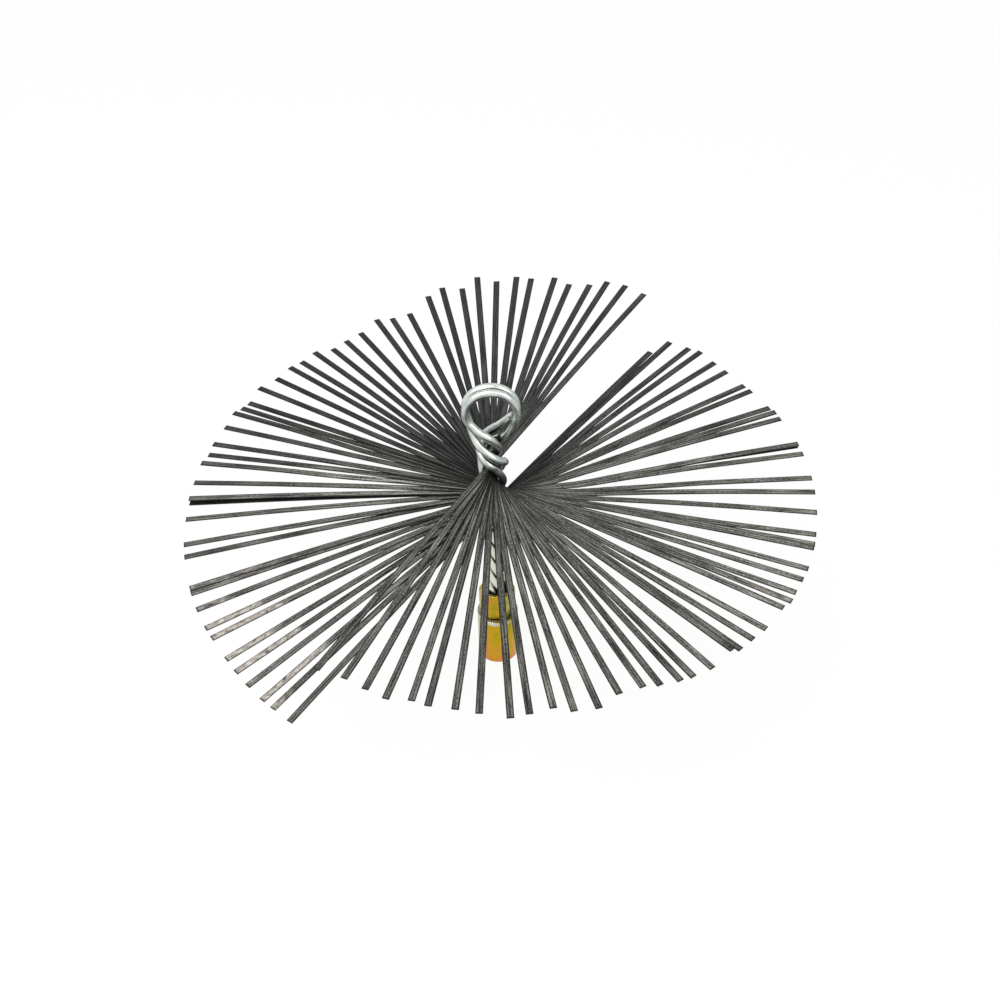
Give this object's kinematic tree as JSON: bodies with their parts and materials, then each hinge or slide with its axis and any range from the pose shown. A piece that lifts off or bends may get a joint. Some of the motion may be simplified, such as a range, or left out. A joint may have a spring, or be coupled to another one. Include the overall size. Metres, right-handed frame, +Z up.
{
  "type": "chimney sweep brush",
  "caption": "Round flue brush: flat steel strips fanned about a twisted wire stem with a double eye, hexagonal collar and threaded sleeve.",
  "frame": {"origin": "centre of the threaded sleeve's flat bottom face, on the axis of the stem", "axes": "+Z up the stem towards the eye; X across the eye, in the plane of its rings; +Y through the eye, away from the camera of the picture"},
  "size_m": [0.2502, 0.2502, 0.1422],
  "materials": {
    "yellow_zinc": "yellow chromated zinc plating, glossy, with faint olive and pink tints",
    "galvanised_wire": "bright galvanised round wire, semi-gloss",
    "spring_steel": "dark rolled spring steel with a fine lengthwise grain, satin"
  },
  "bodies": {
    "root": {"threaded_sleeve": "yellow_zinc", "hex_collar": "yellow_zinc", "front_wire": "galvanised_wire", "back_wire": "galvanised_wire", "strip_01": "spring_steel", "strip_02": "spring_steel", "strip_03": "spring_steel", "strip_04": "spring_steel", "strip_05": "spring_steel", "strip_06": "spring_steel", "strip_07": "spring_steel", "strip_08": "spring_steel", "strip_09": "spring_steel", "strip_10": "spring_steel", "strip_11": "spring_steel", "strip_12": "spring_steel", "strip_13": "spring_steel", "strip_14": "spring_steel", "strip_15": "spring_steel", "strip_16": "spring_steel", "strip_17": "spring_steel", "strip_18": "spring_steel", "strip_19": "spring_steel", "strip_20": "spring_steel", "strip_21": "spring_steel", "strip_22": "spring_steel", "strip_23": "spring_steel", "strip_24": "spring_steel", "strip_25": "spring_steel", "strip_26": "spring_steel", "strip_27": "spring_steel", "strip_28": "spring_steel", "strip_29": "spring_steel", "strip_30": "spring_steel", "strip_31": "spring_steel", "strip_32": "spring_steel", "strip_33": "spring_steel", "strip_34": "spring_steel", "strip_35": "spring_steel", "strip_36": "spring_steel", "strip_37": "spring_steel", "strip_38": "spring_steel", "strip_39": "spring_steel", "strip_40": "spring_steel", "strip_41": "spring_steel", "strip_42": "spring_steel", "strip_43": "spring_steel", "strip_44": "spring_steel", "strip_45": "spring_steel", "strip_46": "spring_steel", "strip_47": "spring_steel", "strip_48": "spring_steel"}
  },
  "joints": []
}
